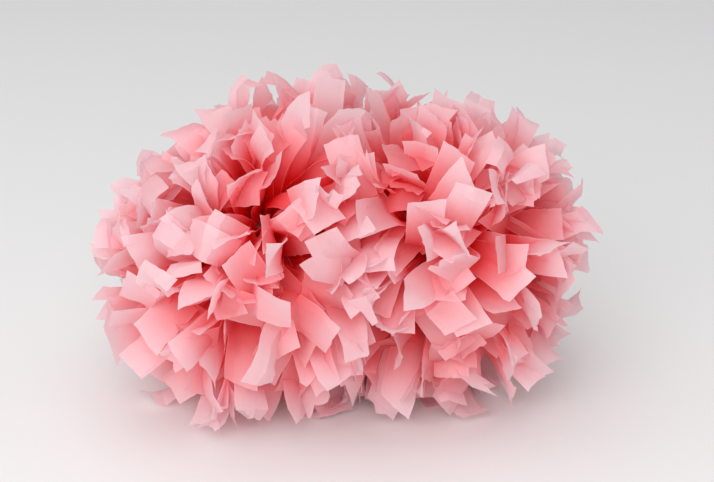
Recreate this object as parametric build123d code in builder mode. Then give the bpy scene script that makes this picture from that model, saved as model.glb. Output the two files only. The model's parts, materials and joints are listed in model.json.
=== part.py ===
import math
import os

from build123d import *

os.makedirs("parts", exist_ok=True)

# A cheerleading pom pom with a baton handle between two tufts of cut film strands.
# +X runs along the baton, +Z is up, and the pom rests on z = 0 with x = 0 mid grip.

# Overall sizes
tuft_radius = 97  # tuft centre to strand tips
tuft_spread = 46  # middle of the grip to each tuft's centre
settle = 9  # how far the strands underneath are pressed flat by resting on them

# Baton, one moulded tube: grip, two inner flanges, two spools
grip_radius = 10.5
bore_radius = 6
spool_radius = 9
spool_length = 18
flange_thickness = 2
rib_count = 7
rib_width = 3
rib_height = 0.8
rib_pitch = 8.5
edge_round = 0.8
rim_round_share = 0.4  # the most a flange rim's rounding takes of its thickness or its step

# End caps, pressed into the ends of the tube
cap_thickness = 3
plug_length = 8
plug_clearance = 0.05
plug_wall = 1.5

# Gathered spines of the film packs, wrapped round each spool, and their cable ties
wrap_radius = 20  # the outside of the wrap is a ball, which the strands lean round
groove_width = 14.4
groove_depth = 6.2
tie_offset = 3.2  # a tie's middle from the wrap's middle
tie_width = 4.8
tie_thickness = 1.2
tie_head_width = 7.6
tie_head_length = 6
tie_head_height = 4
tie_tail = 5

# Film strands, in packs of a quarter turn; angles are measured from the outward axis
outer_edge_angle = 50
side_edge_angle = 95
inner_edge_angle = 130

# Clearances
running_clearance = 0.3  # wrap to spool and flanges
lean_clearance = 0.4  # strands to the ball that they lean round
flange_inset = 1.5  # flanges and caps inside that ball
wrap_gap = 0.3  # between the spines of neighbouring packs
tie_clearance = 0.1
pack_gap = 2  # between neighbouring packs of strands
pack_gap_angle = 1.5
middle_gap = 5  # between the tufts' inner strands, over the middle of the grip

# Worked out
axis_height = tuft_radius - settle
reach = tuft_radius + tuft_spread
half_spool = spool_length / 2
half_grip = tuft_spread - half_spool - flange_thickness
groove_floor = wrap_radius - groove_depth


def radius_in_ball(offset):
    """The largest radius that stays inside the wrap's ball, this far from its middle."""
    return math.sqrt(wrap_radius**2 - offset**2) - flange_inset


flange_radius = radius_in_ball(half_spool + flange_thickness)
cap_radius = radius_in_ball(half_spool + cap_thickness)

baton_axis = Axis((0, 0, axis_height), (1, 0, 0))
sides = {"left": -1, "right": 1}
quarters = {
    "top_front": (-1, 1),
    "top_back": (1, 1),
    "bottom_front": (-1, -1),
    "bottom_back": (1, -1),
}
strand_bands = {
    "outer_strands": (0, outer_edge_angle),
    "side_strands": (outer_edge_angle + pack_gap_angle, side_edge_angle),
    "inner_strands": (side_edge_angle + pack_gap_angle, inner_edge_angle),
}


def section_plane(side, offset=0):
    """A plane through the baton's axis, its x outward from the grip and its y up."""
    return Plane(
        origin=(side * offset, 0, axis_height),
        x_dir=(side, 0, 0),
        z_dir=(0, -side, 0),
    )


def toward(way):
    """The alignment that puts a box on the given side of its corner."""
    return Align.MIN if way > 0 else Align.MAX


def keep_quarter(side, quarter, gap):
    """Trim the open part to its own quarter, half a gap back from each neighbour."""
    y_way, z_way = quarters[quarter]
    height = tuft_radius if z_way > 0 else axis_height - gap / 2
    corner = (side * middle_gap / 2, y_way * gap / 2, axis_height + z_way * gap / 2)
    with Locations(corner):
        Box(
            reach,
            tuft_radius,
            height,
            align=(toward(side), toward(y_way), toward(z_way)),
            mode=Mode.INTERSECT,
        )


def finish_part(part, name):
    """Label a finished piece and write it."""
    part.label = name
    export_step(part, f"parts/{name}.step")


# The baton
with BuildPart() as baton:
    with BuildSketch(section_plane(1)) as wall:
        spool_end = tuft_spread + half_spool
        with Locations((0, (grip_radius + bore_radius) / 2)):
            Rectangle(2 * half_grip, grip_radius - bore_radius)
        with Locations((0, (spool_radius + bore_radius) / 2)):
            Rectangle(2 * spool_end, spool_radius - bore_radius)
        for way in (-1, 1):
            middle = way * (half_grip + flange_thickness / 2)
            with Locations((middle, (flange_radius + bore_radius) / 2)):
                Rectangle(flange_thickness, flange_radius - bore_radius)
        for rib in range(rib_count):
            rib_x = (rib - (rib_count - 1) / 2) * rib_pitch
            with Locations((rib_x, grip_radius)):
                SlotOverall(rib_width, 2 * rib_height)
    revolve(axis=baton_axis)
    rims = baton.edges().filter_by(GeomType.CIRCLE)
    flange_step = min(flange_radius - grip_radius, flange_thickness)
    rim_round = min(edge_round, rim_round_share * flange_step)
    fillet(rims.filter_by(lambda rim: rim.radius > flange_radius - 0.01), rim_round)
finish_part(baton.part, "baton")

# The end caps: a hollow plug in the tube's bore and a round-edged flange outside it
for side_name, side in sides.items():
    with BuildPart() as end_cap:
        with BuildSketch(section_plane(side, tuft_spread + half_spool)) as cap_wall:
            with Locations((cap_thickness / 2, cap_radius / 2)):
                Rectangle(cap_thickness, cap_radius)
            outer_corner = cap_wall.vertices().sort_by(lambda point: point.X + point.Y)[-1]
            fillet(outer_corner, edge_round)
            plug_radius = bore_radius - plug_clearance
            with Locations((-plug_length / 2, plug_radius - plug_wall / 2)):
                Rectangle(plug_length, plug_wall)
        revolve(axis=baton_axis)
    finish_part(end_cap.part, f"{side_name}_end_cap")

# The spines: one quarter of the wrap for each pack, with a groove for the ties
for side_name, side in sides.items():
    for quarter in quarters:
        with BuildPart() as spine:
            with BuildSketch(section_plane(side, tuft_spread)):
                Circle(wrap_radius)
                band_width = spool_length - 2 * running_clearance
                with Locations((0, wrap_radius / 2)):
                    Rectangle(band_width, wrap_radius, mode=Mode.INTERSECT)
                inside = spool_radius + running_clearance
                with Locations((0, inside / 2)):
                    Rectangle(band_width, inside, mode=Mode.SUBTRACT)
                with Locations((0, groove_floor + groove_depth / 2)):
                    Rectangle(groove_width, groove_depth, mode=Mode.SUBTRACT)
            revolve(axis=baton_axis)
            keep_quarter(side, quarter, wrap_gap)
        finish_part(spine.part, f"{side_name}_{quarter}_spine")

# The cable ties: a strap round the groove, its ratchet head and the cut-off tail
tie_places = {"inner_tie": (-1, 1), "outer_tie": (1, -1)}
for side_name, side in sides.items():
    for tie_name, (x_way, head_way) in tie_places.items():
        tie_x = side * (tuft_spread + x_way * tie_offset)
        strap_inside = groove_floor + tie_clearance
        head_base = axis_height + head_way * strap_inside
        with BuildPart() as tie:
            with BuildSketch(Plane.YZ.offset(tie_x - tie_width / 2)):
                with Locations((0, axis_height)):
                    Circle(strap_inside + tie_thickness)
                    Circle(strap_inside, mode=Mode.SUBTRACT)
            extrude(amount=tie_width)
            head_align = (Align.CENTER, Align.CENTER, toward(head_way))
            with Locations((tie_x, 0, head_base)):
                Box(tie_head_width, tie_head_length, tie_head_height, align=head_align)
            tail_middle = strap_inside + tie_head_height - tie_thickness
            with Locations((tie_x, 0, axis_height + head_way * tail_middle)):
                Box(tie_width, tie_head_length + tie_tail, tie_thickness)
        finish_part(tie.part, f"{side_name}_{tie_name}")

# The strands: each pack fans out from its spine in three bands
for side_name, side in sides.items():
    for quarter in quarters:
        for band, (start_angle, end_angle) in strand_bands.items():
            sweep_angle = end_angle - start_angle
            with BuildPart() as strands:
                with BuildSketch(section_plane(side, tuft_spread)):
                    with BuildLine():
                        root_radius = wrap_radius + lean_clearance
                        roots = CenterArc((0, 0), root_radius, start_angle, sweep_angle)
                        tips = CenterArc((0, 0), tuft_radius, start_angle, sweep_angle)
                        Line(roots @ 0, tips @ 0)
                        Line(roots @ 1, tips @ 1)
                    make_face()
                revolve(axis=baton_axis)
                keep_quarter(side, quarter, pack_gap)
            finish_part(strands.part, f"{side_name}_{quarter}_{band}")
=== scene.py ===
import json
import math

import bmesh
import bpy
import numpy as np
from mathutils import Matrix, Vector


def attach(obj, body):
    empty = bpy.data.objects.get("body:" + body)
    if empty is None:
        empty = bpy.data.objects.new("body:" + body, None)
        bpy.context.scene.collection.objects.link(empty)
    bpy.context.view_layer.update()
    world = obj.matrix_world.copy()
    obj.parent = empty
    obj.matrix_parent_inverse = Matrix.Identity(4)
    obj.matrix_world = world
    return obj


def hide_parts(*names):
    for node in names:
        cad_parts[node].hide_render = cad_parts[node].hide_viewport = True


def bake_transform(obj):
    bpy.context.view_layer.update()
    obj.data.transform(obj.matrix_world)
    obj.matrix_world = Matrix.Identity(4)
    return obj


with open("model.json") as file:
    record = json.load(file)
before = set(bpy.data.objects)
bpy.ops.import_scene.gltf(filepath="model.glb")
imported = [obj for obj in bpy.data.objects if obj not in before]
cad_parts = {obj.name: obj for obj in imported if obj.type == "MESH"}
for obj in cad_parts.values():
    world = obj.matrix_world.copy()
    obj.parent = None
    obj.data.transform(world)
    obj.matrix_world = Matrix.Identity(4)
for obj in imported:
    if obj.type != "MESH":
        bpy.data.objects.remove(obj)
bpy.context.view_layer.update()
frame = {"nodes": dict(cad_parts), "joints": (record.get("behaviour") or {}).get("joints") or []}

# ---------------------------------------------------------------- camera
CAMERA_ELEVATION = math.radians(21)
CAMERA_DISTANCE = 0.777
CAMERA_TARGET = Vector((0.007, 0, 0.086))
CAMERA_LENS = 70  # millimetres, on a sensor of full width
SENSOR_WIDTH = 36


def make_camera():
    """A long-lensed camera in front of the pom, looking a little down on it."""
    camera = bpy.data.objects.new("camera", bpy.data.cameras.new("camera"))
    bpy.context.scene.collection.objects.link(camera)
    camera.data.sensor_width = SENSOR_WIDTH
    camera.data.lens = CAMERA_LENS
    back = Vector((0, -math.cos(CAMERA_ELEVATION), math.sin(CAMERA_ELEVATION)))
    camera.location = CAMERA_TARGET + back * CAMERA_DISTANCE
    camera.rotation_mode = "QUATERNION"
    camera.rotation_quaternion = (-back).to_track_quat("-Z", "Y")
    bpy.context.scene.camera = camera


make_camera()

# ---------------------------------------------------------------- the pom's own sizes
SIDES = {"left": -1, "right": 1}
QUARTERS = {
    "top_front": (-1, 1),
    "top_back": (1, 1),
    "bottom_front": (-1, -1),
    "bottom_back": (1, -1),
}
# Each band of strands: its angles from the outward axis, in degrees, and its count
BANDS = {
    "outer_strands": (0, 51, 22),
    "side_strands": (51, 96, 44),
    "inner_strands": (96, 142, 34),
}

joint_at = {joint["name"]: joint["pos_m"] for joint in frame["joints"]}
AXIS_HEIGHT = joint_at["right_nod"][2]
TUFT_SPREAD = joint_at["right_nod"][0]

# A tuft's outline is a superellipsoid: how far its tips stand from its centre outward along
# the baton, back over the grip, to the front and back, up and down, and its exponent at the
# crown, at the ridge where the tufts meet, and at the sagging base. The right tuft is flatter.
OUTLINE = {
    "left": {
        "out": 0.092, "in": 0.115, "across": 0.097, "up": 0.085, "down": 0.100,
        "crown": 1.4, "ridge": 2.8, "base": 2.4,
    },
    "right": {
        "out": 0.089, "in": 0.115, "across": 0.091, "up": 0.078, "down": 0.094,
        "crown": 2.1, "ridge": 2.8, "base": 2.4,
    },
}
SHAPE_CHANGE = 0.05  # over this distance the outline's exponent goes from one to another

# The tufts press on each other over a surface round the baton's axis that waves about mid-plane,
# and the strands' tips, further off that axis, lie over the other tuft
MEET_WAVE = 0.005
MEET_PITCH = 0.05
MEET_SOFT = 0.002
TIPS_OVER = 0.018
TIPS_FROM = (0.06, 0.085)

GRIP_CLEAR = 0.020  # the strands keep this far from the baton's axis beside the tuft,
GRIP_SLOPE = 0.2  # and this much further for each metre towards the other tuft
GRIP_FROM = 0.008  # clear of the spool, which the gathers hold
FLOOR_GAP = 0.0004

STRAND_WIDTH = 0.01905
STRAND_LENGTH = 0.1016
CLUMP = 4  # strands that lie together, as they were cut
SHOULDER = (0.0095, 0.0207)  # where a strand leaves its gathers: along the baton, and off its axis
TURN_RADIUS = 0.0255  # how far out it turns, over the ties
TURN_LEAN = 0.4  # how much its turning point keeps to the gathers' side of its own direction
FAN_RADIUS = 0.031  # where it has turned to its own direction
ROWS = 15
COLUMNS = 7

# How the strands spread: the steps fill a square evenly, and a clump's leader draws in the rest
EVEN_STEPS = (0.7548776662, 0.5698402910)
SCATTER = 0.08
CLUMP_PULL = 0.5
CLUMP_LEAN = 0.3  # how much the widths of a clump's strands lean away from one another

# How the strands lie. Bends are in radians for each metre, and folds and turns in radians.
PROBE = 0.05  # the outline's reach each way is found from a point this far out
REACH_SHARE = (0.86, 1.05)  # of the way to the outline
FOLDED = 0.45  # the share of strands with one sharp fold across
FOLDED_LENGTH = 1.1
FOLD = (0.3, 1.2)
FIRST_FOLD_ROW = 6
CURL = 10.0
CURL_GROWTH = (0.3, 1.4)  # the share of its curl that a strand has at the root, and its increase
DROOP = (4, 28)
DROOP_GROWTH = 1.3
TWIST = 10.0
OWN_WAY_ROW = 4  # by here a strand's width has turned from lying round the spool to its own way

# How a strand's width is bent, in radians from one edge to the other
CUP = 1.5
ROOT_CUP = 2.4  # more of it near the root, as far out as ROOT_CUP_END of the length
ROOT_CUP_END = 0.6
PLEAT = (0.8, 1.2)
PLEAT_END = (0.2, 0.5)
CREASED = 0.45  # the share of strands with a crease along them
CREASE = 1.5
CUP_LOSS = 0.4  # the share of its cup that a strand has lost at its tip
CREASE_LOSS = 0.55
CRUMPLE = 0.0024
CRUMPLE_WAVES = (1.5, 3.5)
BUNCHED = 0.6  # the finest pleats, next to the tie, aren't modelled, so the film is narrower there
BUNCH_END = 0.3
CUT_SLANT = 0.16
TORN = 0.1  # the share of strands with a torn end
TEAR = (-0.004, 0.002)
ROUGHNESS = 0.0002

# How soon a strand's heading turns aside
LOOK_AHEAD = 0.022
GRIP_SOFT = 0.015
OUTLINE_REACH = 1.04
OUTLINE_SOFT = 0.13
FLATTEN_BELOW = 0.02
FLATTEN_BY = 0.5
LIE_ROUND_GRIP = 0.012

# For each band: a way out (outward, across, up) along which the film would go over from the wrap to
# the tuft when a tuft nods, and how far out that would start and end. make_strands reads these but
# builds no bend from them.
# The inner strands' entry is meant to keep them back towards the mid-plane, giving way to the other
# tuft.
BEND = {
    "outer_strands": ((1, 0, 0), 0.014, 0.038),
    "side_strands": ((0, 1, 1), 0.014, 0.038),
    "inner_strands": ((1, 0, 0.55), 0.002, 0.036),
}
EDGE_BAND = 0.0005  # how far in from a cut edge the film is painted paler, a painted highlight
TIP_PAINTED_SHADE = 0.945  # painted shade: the film's colour runs from deep red, 0, painted where light has come through many layers, to the outermost, 1
# where the gathers stand on that painted-shade ramp, deep in the pom
GATHERS_PAINTED_SHADE = 0.62
SHARP_ANGLE = math.radians(28)


# ---------------------------------------------------------------- strand shapes
def unit(v):
    """Each vector at length 1."""
    return v / np.maximum(np.linalg.norm(v, axis=-1, keepdims=True), 1e-9)


def dot(a, b):
    """The dot product of each pair of vectors, kept as a column."""
    return (a * b).sum(-1, keepdims=True)


def smooth_step(x):
    """From 0 to 1 as x goes from 0 to 1, level at both ends."""
    x = np.clip(x, 0, 1)
    return x * x * (3 - 2 * x)


def tuft_centre(side):
    """The middle of a tuft's spool, where its strands start from."""
    return np.array([side * TUFT_SPREAD, 0, AXIS_HEIGHT])


def fullness(offset, side_name):
    """How far out in its tuft's outline each offset is, 1 on the outline, and the way out there."""
    shape = OUTLINE[side_name]
    outward, up = SIDES[side_name] * offset[:, :1], offset[:, 2:]
    x = np.where(outward > 0, shape["out"], shape["in"])
    z = np.where(up > 0, shape["up"], shape["down"])
    axes = np.concatenate([x, np.full_like(x, shape["across"]), z], 1)
    crown_share = smooth_step(outward / SHAPE_CHANGE + 0.5)
    top = shape["ridge"] + (shape["crown"] - shape["ridge"]) * crown_share
    power = shape["base"] + (top - shape["base"]) * smooth_step(up / SHAPE_CHANGE + 0.5)
    share = np.abs(offset / axes)
    full = (share**power).sum(1, keepdims=True) ** (1 / power)
    return full, unit(share ** (power - 1) / axes * np.sign(offset))


def strand_directions(side, quarter, band, rng):
    """Where a band's strands head, in clumps over its quarter, and which way their widths lie."""
    start, end, count = BANDS[band]
    y_way, z_way = QUARTERS[quarter]
    index = np.arange(count)
    along, around = ((0.5 + index * step) % 1 for step in EVEN_STEPS)
    first, last = math.cos(math.radians(start)), math.cos(math.radians(end))
    cosine = first + (last - first) * along
    turn = around * math.pi / 2
    sine = np.sqrt(1 - cosine**2)
    ways = np.stack([side * cosine, y_way * sine * np.cos(turn), z_way * sine * np.sin(turn)], 1)
    ways = unit(ways + rng.normal(0, SCATTER, ways.shape))
    leaders = ways[rng.permutation(count)[: count // CLUMP]]
    nearest = (ways @ leaders.T).argmax(1)
    ways = unit(ways + CLUMP_PULL * leaders[nearest])
    lean = rng.normal(0, 1, leaders.shape)[nearest] + rng.normal(0, CLUMP_LEAN, ways.shape)
    return ways, unit(np.cross(ways, lean))


def turned(t, n, angle):
    """The frame's tangent and normal after turning by angle about the width."""
    c, s = np.cos(angle), np.sin(angle)
    return t * c + n * s, n * c - t * s


def grip_room(point, side):
    """How far each point stands off the space kept clear round the grip, and the way off it."""
    off_axis = point - np.array([0, 0, AXIS_HEIGHT])
    off_axis[:, 0] = 0
    towards_grip = TUFT_SPREAD - side * point[:, :1]
    room = np.linalg.norm(off_axis, axis=1, keepdims=True) - GRIP_CLEAR - GRIP_SLOPE * towards_grip
    return np.where(towards_grip > GRIP_FROM, room, 1), unit(off_axis)


def meeting_surface(point, side):
    """How far along the baton a tuft's film may reach, at each point's distance off the axis."""
    off_axis = np.hypot(point[..., 1], point[..., 2] - AXIS_HEIGHT)
    start, end = TIPS_FROM
    over = TIPS_OVER * smooth_step((off_axis - start) / (end - start))
    return MEET_WAVE * np.sin(2 * math.pi * off_axis / MEET_PITCH) - side * over


def steer(t, point, side_name):
    """Keep a strand's heading off the floor, the grip, the far tuft and the tuft's outline."""
    side = SIDES[side_name]
    t = t.copy()
    t[:, 2] = np.maximum(t[:, 2], (FLOOR_GAP - point[:, 2]) / LOOK_AHEAD)
    inward = side * (point[:, 0] - meeting_surface(point, side))
    t[:, 0] = side * np.maximum(side * t[:, 0], -inward / LOOK_AHEAD)
    full, outward = fullness(point - tuft_centre(side), side_name)
    t -= outward * np.maximum(dot(t, outward) - (OUTLINE_REACH - full) / OUTLINE_SOFT, 0)
    room, away = grip_room(point, side)
    return unit(t + away * np.maximum(-room / GRIP_SOFT - dot(t, away), 0))


def strand_roots(side, ways, band):
    """The points of the gathers' shoulder where the strands start, each below its own heading."""
    along, off = SHOULDER
    around = ways.copy()
    around[:, 0] = 0
    lean = -1 if band == "inner_strands" else 1
    return tuft_centre(side) + unit(around) * off + np.array([side * lean * along, 0, 0])


def strand_paths(side_name, band, ways, own_w, rng):
    """Centre lines and frames of a band's strands: film curls, droops and turns aside."""
    side = SIDES[side_name]
    shape = (len(ways), 1)
    reach = PROBE / fullness(PROBE * ways, side_name)[0]
    folded = rng.random(shape) < FOLDED
    length = reach * rng.uniform(*REACH_SHARE, shape) * np.where(folded, FOLDED_LENGTH, 1) - FAN_RADIUS
    curl = rng.normal(0, CURL, shape)
    droop = rng.uniform(*DROOP, shape)
    twist = rng.normal(0, TWIST, shape)
    fold_row = rng.integers(FIRST_FOLD_ROW, ROWS - 3, shape)
    fold_way = rng.choice([-1, 1], shape)
    fold = np.where(folded, fold_way * rng.uniform(*FOLD, shape), 0)
    step = length / (ROWS - 3)
    curl_root, curl_more = CURL_GROWTH

    centre = tuft_centre(side)
    root = strand_roots(side, ways, band)
    turn = centre + unit(TURN_LEAN * unit(root - centre) + ways) * TURN_RADIUS
    point = centre + ways * FAN_RADIUS
    points, tangents, widths, normals = [root, turn], [], [], []
    around = unit(np.cross((1.0, 0, 0), root - centre))
    around *= np.where(dot(around, own_w) < 0, -1, 1)
    w = around
    for t in (unit(turn - root), unit(point - root)):
        w = unit(w - t * dot(w, t))
        tangents.append(t)
        widths.append(w)
        normals.append(np.cross(t, w))
    bound_length = np.linalg.norm(turn - root, axis=1) + np.linalg.norm(point - turn, axis=1)
    t = ways.copy()
    for row in range(2, ROWS):
        s = row / (ROWS - 1)
        if row <= OWN_WAY_ROW:
            w = around + (own_w - around) * (row - 1) / (OWN_WAY_ROW - 1)
        w = unit(w - t * dot(w, t))
        n = np.cross(t, w)
        bend = curl * (curl_root + curl_more * s) - droop * n[:, 2:3] * s * DROOP_GROWTH
        t, n = turned(t, n, bend * step + np.where(fold_row == row, fold, 0))
        roll = twist * step
        w = w * np.cos(roll) + n * np.sin(roll)
        t = steer(t, point, side_name)
        w = w - t * dot(w, t)
        w[:, 2:3] *= 1 - FLATTEN_BY * np.clip(1 - point[:, 2:3] / FLATTEN_BELOW, 0, 1)
        room, away = grip_room(point, side)
        w -= away * dot(w, away) * np.clip(1 - room / LIE_ROUND_GRIP, 0, 1)
        w = unit(w - t * dot(w, t))
        points.append(point)
        tangents.append(t)
        widths.append(w)
        normals.append(np.cross(t, w))
        point = point + t * step
    frames = [np.stack(rows, 1) for rows in (points, tangents, widths, normals)]
    return frames, float(length.sum() + bound_length.sum())


def strand_vertices(frames, side, rng):
    """Vertices (strand, row, column, xyz): pleated at the tie, cupped or creased further out."""
    points, tangents, widths, normals = frames
    count = len(points)
    s = np.linspace(0, 1, ROWS)[None, :, None]
    column = (np.arange(COLUMNS) + 0.5) / COLUMNS - 0.5
    sign = np.where(np.arange(COLUMNS) % 2, 1, -1)[None, None, :]

    def draw(low, high):
        return rng.uniform(low, high, (count, 1, 1))

    cup = draw(-CUP, CUP) * (1 - CUP_LOSS * s)
    cup = cup + draw(-ROOT_CUP, ROOT_CUP) * (1 - smooth_step(s / ROOT_CUP_END))
    pleat = sign * draw(*PLEAT) * (1 - smooth_step(s / draw(*PLEAT_END)))
    crease_at = rng.integers(1, COLUMNS, (count, 1, 1))
    creased = rng.random((count, 1, 1)) < CREASED
    crease = np.where(creased, draw(-CREASE, CREASE), 0) * (1 - CREASE_LOSS * s)
    beyond = (np.arange(COLUMNS)[None, None, :] >= crease_at) - 0.5
    psi = cup * column[None, None, :] + pleat + crease * beyond
    segment = STRAND_WIDTH / COLUMNS
    zero = np.zeros((count, ROWS, 1))
    across = np.concatenate([zero, np.cumsum(np.cos(psi), 2) * segment], 2)
    lift = np.concatenate([zero, np.cumsum(np.sin(psi), 2) * segment], 2)
    across -= across.mean(2, keepdims=True)
    lift -= lift.mean(2, keepdims=True)
    # soft crumples that run slantwise over the film
    place = np.linspace(-0.5, 0.5, COLUMNS + 1)[None, None, :]
    for waves in CRUMPLE_WAVES:
        phase = draw(1, 1.6) * waves * s + draw(-0.7, 0.7) * place + draw(0, 1)
        lift += draw(0, CRUMPLE) / waves * np.sin(2 * math.pi * phase) * s
    bunch = BUNCHED + (1 - BUNCHED) * smooth_step(s / BUNCH_END)
    across *= bunch
    lift *= bunch
    v = (
        points[:, :, None, :]
        + across[..., None] * widths[:, :, None, :]
        + lift[..., None] * normals[:, :, None, :]
    )
    # the cut end: square or a little slanted, and torn on a few strands
    cut = rng.normal(0, CUT_SLANT, (count, 1)) * place[0] * STRAND_WIDTH
    torn = rng.random((count, 1)) < TORN
    cut = cut + np.where(torn, rng.uniform(*TEAR, (count, COLUMNS + 1)), 0)
    v[:, -1] += tangents[:, -1][:, None, :] * cut[..., None]
    v += rng.normal(0, ROUGHNESS, v.shape)
    # film against the other tuft is pressed flat, without crossing the surface where they meet
    meet = meeting_surface(v, side)
    inward = side * (v[..., 0] - meet)
    v[..., 0] = meet + side * (inward + np.sqrt(inward**2 + 4 * MEET_SOFT**2)) / 2
    v[..., 2] = np.maximum(v[..., 2], FLOOR_GAP)
    return v


# ---------------------------------------------------------------- film meshes
def grid_faces(rows, columns, count=1):
    """Quads of count separate grids of rows by columns vertices, one after another."""
    grid = np.arange(rows * columns).reshape(rows, columns)
    quads = np.stack([grid[:-1, :-1], grid[:-1, 1:], grid[1:, 1:], grid[1:, :-1]], -1).reshape(-1, 4)
    return (quads[None] + np.arange(count)[:, None, None] * grid.size).reshape(-1, 4)


def film_mesh(name, v, side_name, rng):
    """A mesh of separate film strips v, with the film's own coordinates as attributes."""
    count, rows, columns = v.shape[:3]
    mesh = bpy.data.meshes.new(name)
    mesh.from_pydata(v.reshape(-1, 3).tolist(), [], grid_faces(rows, columns, count).tolist())
    place = np.zeros((count, rows, columns, 3))
    place[..., 0] = np.linspace(0, 1, columns) * STRAND_WIDTH
    place[..., 1] = np.linspace(0, 1, rows)[:, None] * STRAND_LENGTH
    place[..., 2] = rng.uniform(0, 10, (count, 1, 1))
    on_film = mesh.attributes.new("on_film", "FLOAT_VECTOR", "POINT")
    on_film.data.foreach_set("vector", place.ravel())
    tone = mesh.attributes.new("tone", "FLOAT", "POINT")
    tone.data.foreach_set("value", np.repeat(rng.uniform(0, 1, count), rows * columns))
    # the depth attribute drives the painted shade: film deeper in the tuft is painted redder
    depth = mesh.attributes.new("depth", "FLOAT", "POINT")
    offset = v.reshape(-1, 3) - tuft_centre(SIDES[side_name])
    depth.data.foreach_set("value", TIP_PAINTED_SHADE * fullness(offset, side_name)[0].ravel())
    mesh.update()
    crisp = bmesh.new()
    crisp.from_mesh(mesh)
    for edge in crisp.edges:
        edge.smooth = edge.calc_face_angle(0) < SHARP_ANGLE
    for face in crisp.faces:
        face.smooth = True
    crisp.to_mesh(mesh)
    crisp.free()
    return mesh


def add_piece(name, mesh, material, node):
    """Show a mesh as a piece that stands for a CAD node."""
    piece = bpy.data.objects.new(name, mesh)
    bpy.context.scene.collection.objects.link(piece)
    mesh.materials.append(material)
    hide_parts(node)
    return piece


def make_strands(side_name, quarter, band, material, rng):
    """The strands of one band of one film pack."""
    side = SIDES[side_name]
    ways, widths = strand_directions(side, quarter, band, rng)
    frames, total_length = strand_paths(side_name, band, ways, widths, rng)
    node = f"{side_name}_{quarter}_{band}"
    mesh = film_mesh(node + "_film", strand_vertices(frames, side, rng), side_name, rng)
    film = add_piece(node + "_film", mesh, material, node)
    way, bend_start, bend_end = BEND[band]
    way = unit(np.array(way) * (side, *QUARTERS[quarter]))
    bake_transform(film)


# ---------------------------------------------------------------- gathers
# Half of a pack's gathered middle, in section, from under the ties out to the shoulder:
# distance along the baton from the tuft's centre and off its axis
WAIST = 0.0134
GATHER_HALF = [(0.0067, WAIST), (0.0075, 0.0139), (0.0080, 0.0150), (0.0083, 0.0164), (0.0086, 0.0178)]
GATHER_INSIDE = 0.0095
GATHER_GAP_ANGLE = 0.012  # half the gap between the gathers of neighbouring packs
PLEATS = 15
PLEAT_STEPS = 4
PLEAT_DEPTH = (0.00018, 0.00108)  # under the ties and at the shoulder
PLEAT_DRIFT = 0.25
FLARE = 0.0045  # the pleats reach their full depth this far outside the waist


def gathers_vertices(side, quarter, rng):
    """Vertices (column, row, xyz) of a pack's pleated middle, wrapped a quarter round the spool."""
    y_way, z_way = QUARTERS[quarter]
    other_half = [(-along, off) for along, off in reversed(GATHER_HALF)]
    section = np.array([*other_half, (0, WAIST), *GATHER_HALF])
    columns = PLEATS * PLEAT_STEPS + 1
    turn = np.linspace(GATHER_GAP_ANGLE, math.pi / 2 - GATHER_GAP_ANGLE, columns)
    knots = np.arange(0, columns, PLEAT_STEPS)
    drift = np.interp(np.arange(columns), knots, rng.uniform(-1, 1, PLEATS + 1))
    phase = np.linspace(0, PLEATS, columns) + PLEAT_DRIFT * drift
    fold = np.abs((phase % 1) * 2 - 1) * 2 - 1
    flare = smooth_step((section[:, 1] - WAIST) / FLARE)
    shallow, deep = PLEAT_DEPTH
    depth = shallow + (deep - shallow) * flare
    off = section[None, :, 1] + fold[:, None] * depth[None, :]
    along = section[None, :, 0] * (1 + 0.02 * rng.normal(0, 1, (columns, 1)) * flare[None, :])
    off = np.concatenate([off, np.full((columns, 2), GATHER_INSIDE)], 1)
    ends = np.full((columns, 1), section[-1, 0])
    along = np.concatenate([along, ends, -ends], 1)
    v = np.empty((columns, off.shape[1], 3))
    v[..., 0] = side * (TUFT_SPREAD + along)
    v[..., 1] = y_way * off * np.cos(turn)[:, None]
    v[..., 2] = AXIS_HEIGHT + z_way * off * np.sin(turn)[:, None]
    return v


def make_gathers(side_name, quarter, material, rng):
    """The tacked middle of a film pack: closed, pleated all round and pinched by the ties."""
    side = SIDES[side_name]
    v = gathers_vertices(side, quarter, rng)
    columns, rows = v.shape[:2]
    name = f"{side_name}_{quarter}_gathers"
    mesh = bpy.data.meshes.new(name)
    ring = np.concatenate([v, v[:, :1]], 1)
    faces = grid_faces(columns, rows + 1).tolist()
    mesh.from_pydata(ring.reshape(-1, 3).tolist(), [], faces)
    closed = bmesh.new()
    closed.from_mesh(mesh)
    bmesh.ops.remove_doubles(closed, verts=closed.verts, dist=1e-6)
    bmesh.ops.holes_fill(closed, edges=closed.edges, sides=0)
    bmesh.ops.recalc_face_normals(closed, faces=closed.faces)
    closed.to_mesh(mesh)
    closed.free()
    # the gathers sit deep in the pom, so they get one fixed painted-shade depth, a redder tone
    for attribute, value in (("tone", rng.uniform(0.3, 0.7)), ("depth", GATHERS_PAINTED_SHADE)):
        data = mesh.attributes.new(attribute, "FLOAT", "POINT").data
        data.foreach_set("value", np.full(len(data), value))
    on_film = mesh.attributes.new("on_film", "FLOAT_VECTOR", "POINT")
    on_film.data.foreach_set("vector", np.array([vertex.co for vertex in mesh.vertices]).ravel())
    mesh.update()
    gathers = add_piece(name, mesh, material, f"{side_name}_{quarter}_spine")
    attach(gathers, f"{side_name}_wrap")


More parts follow.
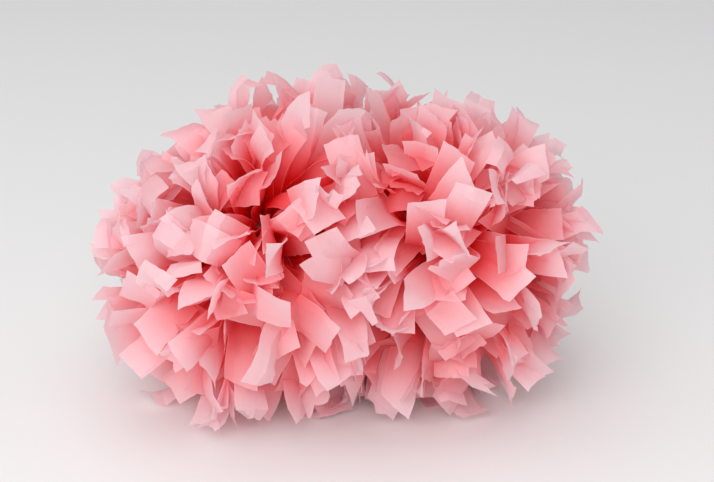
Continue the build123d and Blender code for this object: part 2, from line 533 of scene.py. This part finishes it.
# ---------------------------------------------------------------- materials
class Shader:
    """A node material being wired: add() makes a node, link() joins two sockets."""

    def __init__(self, name):
        self.material = bpy.data.materials.new(name)
        self.material.use_nodes = True
        self.tree = self.material.node_tree
        self.surface = self.tree.nodes["Principled BSDF"]
        self.output = self.tree.nodes["Material Output"]

    def add(self, kind, inputs=None, **settings):
        node = self.tree.nodes.new(kind)
        for key, value in settings.items():
            setattr(node, key, value)
        for key, value in (inputs or {}).items():
            node.inputs[key].default_value = value
        return node

    def link(self, source, target):
        self.tree.links.new(source, target)

    def ramp(self, source, stops):
        """A colour ramp over source, from (position, colour) stops."""
        node = self.add("ShaderNodeValToRGB")
        elements = node.color_ramp.elements
        while len(elements) < len(stops):
            elements.new(0.5)
        for element, (position, colour) in zip(elements, stops):
            element.position = position
            element.color = (*colour, 1)
        self.link(source, node.inputs["Fac"])
        return node.outputs["Color"]


def film_material():
    """Thin pink polythene: it scatters light forward and back, with a soft satin gloss.

    Its colour is painted deeper red towards a strand's root: painted shade for light that has come
    through several layers there.
    """
    shader = Shader("pink_film")
    tone = shader.add("ShaderNodeAttribute", attribute_name="tone")
    place = shader.add("ShaderNodeAttribute", attribute_name="on_film")
    depth = shader.add("ShaderNodeAttribute", attribute_name="depth")
    shade = shader.add("ShaderNodeMath", {1: 0.08}, operation="MULTIPLY_ADD")
    shader.link(tone.outputs["Fac"], shade.inputs[0])
    shader.link(depth.outputs["Fac"], shade.inputs[2])
    # painted shade: this ramp paints the film deep red where it lies deep in the tuft and pale pink at
    # the tips
    colour = shader.ramp(
        shade.outputs["Value"],
        [
            (0.53, (1.0, 0.035, 0.04)),
            (0.74, (0.99, 0.34, 0.37)),
            (0.9, (0.97, 0.64, 0.68)),
            (1.0, (0.95, 0.75, 0.79)),
        ],
    )
    creases = shader.add("ShaderNodeTexNoise", {"Scale": 160.0, "Detail": 3.0, "Roughness": 0.55})
    stretch = shader.add("ShaderNodeMapping", {"Scale": (1.0, 0.35, 1.0)})
    shader.link(place.outputs["Vector"], stretch.inputs["Vector"])
    shader.link(stretch.outputs["Vector"], creases.inputs["Vector"])
    streaks = shader.add("ShaderNodeTexNoise", {"Scale": 700.0, "Detail": 2.0})
    draw_out = shader.add("ShaderNodeMapping", {"Scale": (1.0, 0.06, 1.0)})
    shader.link(place.outputs["Vector"], draw_out.inputs["Vector"])
    shader.link(draw_out.outputs["Vector"], streaks.inputs["Vector"])
    height = shader.add("ShaderNodeMath", {1: 0.12}, operation="MULTIPLY_ADD")
    shader.link(streaks.outputs["Fac"], height.inputs[0])
    shader.link(creases.outputs["Fac"], height.inputs[2])
    bump = shader.add("ShaderNodeBump", {"Strength": 0.75, "Distance": 0.0008})
    shader.link(height.outputs["Value"], bump.inputs["Height"])
    gloss = shader.add("ShaderNodeMapRange", {"To Min": 0.26, "To Max": 0.44})
    shader.link(creases.outputs["Fac"], gloss.inputs["Value"])
    # painted highlight: the film is painted paler along its cut edges, where they catch the light
    across = shader.add("ShaderNodeSeparateXYZ")
    shader.link(place.outputs["Vector"], across.inputs["Vector"])
    far_edge = shader.add("ShaderNodeMath", {0: STRAND_WIDTH}, operation="SUBTRACT")
    shader.link(across.outputs["X"], far_edge.inputs[1])
    edge = shader.add("ShaderNodeMath", operation="MINIMUM")
    shader.link(across.outputs["X"], edge.inputs[0])
    shader.link(far_edge.outputs["Value"], edge.inputs[1])
    edge_highlight = shader.add("ShaderNodeMapRange", {"From Max": EDGE_BAND, "To Min": 0.55, "To Max": 0.0})
    shader.link(edge.outputs["Value"], edge_highlight.inputs["Value"])
    paler = shader.add("ShaderNodeMix", data_type="RGBA")
    paler.inputs["B"].default_value = (1.0, 0.86, 0.88, 1)
    shader.link(edge_highlight.outputs["Result"], paler.inputs["Factor"])
    shader.link(colour, paler.inputs["A"])
    colour = paler.outputs["Result"]
    shader.link(colour, shader.surface.inputs["Base Color"])
    shader.link(gloss.outputs["Result"], shader.surface.inputs["Roughness"])
    shader.link(bump.outputs["Normal"], shader.surface.inputs["Normal"])
    through = shader.add("ShaderNodeBsdfTranslucent")
    shader.link(colour, through.inputs["Color"])
    shader.link(bump.outputs["Normal"], through.inputs["Normal"])
    mix = shader.add("ShaderNodeMixShader", {"Fac": 0.62})
    shader.link(shader.surface.outputs["BSDF"], mix.inputs[1])
    shader.link(through.outputs["BSDF"], mix.inputs[2])
    shader.link(mix.outputs["Shader"], shader.output.inputs["Surface"])
    return shader.material


def plastic_material(name, low, high, roughness, grain):
    """Moulded plastic: a slightly uneven colour and a fine moulded grain."""
    shader = Shader(name)
    place = shader.add("ShaderNodeTexCoord")
    clouds = shader.add("ShaderNodeTexNoise", {"Scale": 60.0, "Detail": 4.0})
    shader.link(place.outputs["Object"], clouds.inputs["Vector"])
    colour = shader.ramp(clouds.outputs["Fac"], [(0.0, low), (1.0, high)])
    shader.link(colour, shader.surface.inputs["Base Color"])
    fine = shader.add("ShaderNodeTexNoise", {"Scale": 1400.0, "Detail": 2.0})
    shader.link(place.outputs["Object"], fine.inputs["Vector"])
    bump = shader.add("ShaderNodeBump", {"Strength": grain, "Distance": 0.0001})
    shader.link(fine.outputs["Fac"], bump.inputs["Height"])
    shader.link(bump.outputs["Normal"], shader.surface.inputs["Normal"])
    rough = shader.add("ShaderNodeMapRange", {"To Min": roughness - 0.05, "To Max": roughness + 0.08})
    shader.link(clouds.outputs["Fac"], rough.inputs["Value"])
    shader.link(rough.outputs["Result"], shader.surface.inputs["Roughness"])
    return shader.material


def floor_material():
    """A pale, dull backdrop with the faintest unevenness."""
    shader = Shader("studio_floor")
    place = shader.add("ShaderNodeTexCoord")
    clouds = shader.add("ShaderNodeTexNoise", {"Scale": 1.5, "Detail": 2.0})
    shader.link(place.outputs["Object"], clouds.inputs["Vector"])
    stops = [(0.0, (0.74, 0.735, 0.737)), (1.0, (0.76, 0.755, 0.757))]
    colour = shader.ramp(clouds.outputs["Fac"], stops)
    shader.link(colour, shader.surface.inputs["Base Color"])
    shader.surface.inputs["Roughness"].default_value = 0.7
    return shader.material


# ---------------------------------------------------------------- the build
film = film_material()
rng = np.random.default_rng(7)
for side_name in SIDES:
    for quarter in QUARTERS:
        make_gathers(side_name, quarter, film, rng)
        for band in BANDS:
            make_strands(side_name, quarter, band, film, rng)

cad_materials = {
    "baton": plastic_material("baton_plastic", (0.82, 0.80, 0.78), (0.9, 0.88, 0.86), 0.38, 0.3),
    "cap": plastic_material("cap_plastic", (0.82, 0.80, 0.78), (0.9, 0.88, 0.86), 0.25, 0.15),
    "tie": plastic_material("tie_nylon", (0.78, 0.78, 0.74), (0.86, 0.86, 0.82), 0.42, 0.2),
}
for name, node in frame["nodes"].items():
    kind = name.split("_")[-1]
    if kind in cad_materials:
        node.data.materials.clear()
        node.data.materials.append(cad_materials[kind])


# ---------------------------------------------------------------- the studio
def make_floor():
    """A square of backdrop under the pom."""
    mesh = bpy.data.meshes.new("floor")
    half = 4.0
    corners = [(-half, -half, 0), (half, -half, 0), (half, half, 0), (-half, half, 0)]
    mesh.from_pydata(corners, [], [(0, 1, 2, 3)])
    floor = bpy.data.objects.new("floor", mesh)
    bpy.context.scene.collection.objects.link(floor)
    mesh.materials.append(floor_material())


def area_light(name, place, target, size, power):
    """A rectangular soft light at a place, facing a target."""
    light = bpy.data.lights.new(name, "AREA")
    light.shape = "RECTANGLE"
    light.size, light.size_y = size
    light.energy = power
    lamp = bpy.data.objects.new(name, light)
    bpy.context.scene.collection.objects.link(lamp)
    lamp.location = place
    lamp.rotation_mode = "QUATERNION"
    lamp.rotation_quaternion = (Vector(target) - Vector(place)).to_track_quat("-Z", "Y")


def make_lights():
    """An even pale room with a high soft light and two soft lights from the camera's side."""
    world = bpy.data.worlds.new("studio")
    bpy.context.scene.world = world
    world.use_nodes = True
    background = world.node_tree.nodes["Background"]
    background.inputs["Color"].default_value = (1, 1, 1, 1)
    background.inputs["Strength"].default_value = 0.6
    area_light("overhead", (-0.5, -0.2, 2.4), (-0.1, 0.1, 0), (3.0, 3.0), 22)
    area_light("front", (-0.5, -1.7, 0.95), (0, 0, 0.08), (2.2, 1.4), 26)
    area_light("fill", (-0.15, -0.95, 0.55), (0, -0.2, 0), (0.8, 0.5), 1.8)


bpy.context.scene.view_settings.view_transform = "Standard"
make_floor()
make_lights()
